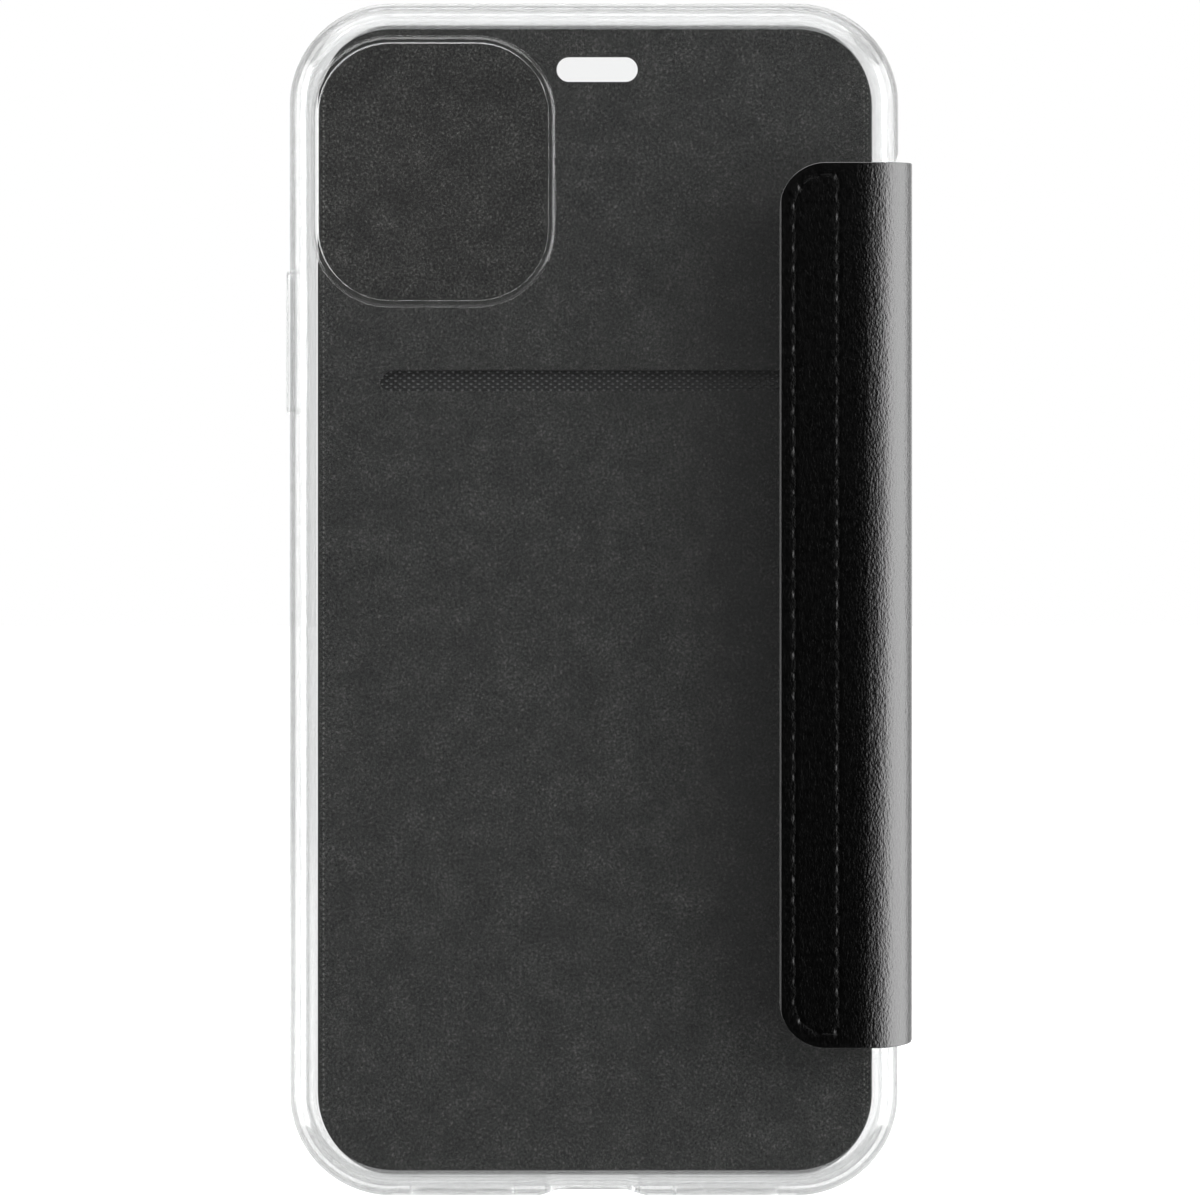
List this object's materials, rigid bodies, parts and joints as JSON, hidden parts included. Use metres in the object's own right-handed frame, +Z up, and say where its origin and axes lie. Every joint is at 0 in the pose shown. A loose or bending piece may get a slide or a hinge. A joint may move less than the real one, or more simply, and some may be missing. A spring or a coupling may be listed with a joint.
{
  "type": "phone wallet case",
  "caption": "Folio phone case: clear moulded shell with camera cut-out, and a black leather strip sewn to its back that wraps the side to a hinged front flap with a card slot.",
  "frame": {"origin": "bottom centre of the closed case's bounding box, on the surface it stands on", "axes": "+Z up the case, +X towards the hinge side, -Y out of the clear back, +Y out of the front flap"},
  "size_m": [0.0808, 0.0148, 0.1536],
  "materials": {
    "clear_tpu": "clear soft plastic, polished",
    "leather": "black fine-grained synthetic leather, satin",
    "lining": "charcoal microfibre, brushed",
    "thread": "black sewing thread",
    "pocket_weave": "dark dotted woven fabric",
    "board": "dyed fibreboard"
  },
  "bodies": {
    "shell": {"clear_shell": "clear_tpu", "tab_leather": "leather", "tab_lining": "lining", "tab_needle_thread": "thread", "tab_bobbin_thread": "thread"},
    "spine": {"spine_leather": "leather", "spine_lining": "lining"},
    "flap": {"flap_lining": "lining", "pocket_frame": "board", "pocket_weave": "pocket_weave", "flap_board": "board", "flap_leather": "leather"},
    "power_button": {"power_button_pad": "clear_tpu"},
    "volume_up_button": {"volume_up_pad": "clear_tpu"},
    "volume_down_button": {"volume_down_pad": "clear_tpu"}
  },
  "joints": [
    {"name": "spine_hinge", "type": "hinge", "parent": "shell", "child": "spine", "pos_m": [0.03544, -0.0075, 0.076], "axis": [0, 0, -1], "range_deg": [0, 180]},
    {"name": "flap_hinge", "type": "hinge", "parent": "spine", "child": "flap", "pos_m": [0.03544, 0.0075, 0.076], "axis": [0, 0, -1], "range_deg": [0, 180]},
    {"name": "power_button_press", "type": "slide", "parent": "shell", "child": "power_button", "axis": [1, 0, 0], "range_m": [0, 0.0004], "stiffness_N_per_m": 1000},
    {"name": "volume_up_press", "type": "slide", "parent": "shell", "child": "volume_up_button", "axis": [-1, 0, 0], "range_m": [0, 0.0004], "stiffness_N_per_m": 1000},
    {"name": "volume_down_press", "type": "slide", "parent": "shell", "child": "volume_down_button", "axis": [-1, 0, 0], "range_m": [0, 0.0004], "stiffness_N_per_m": 1000}
  ]
}
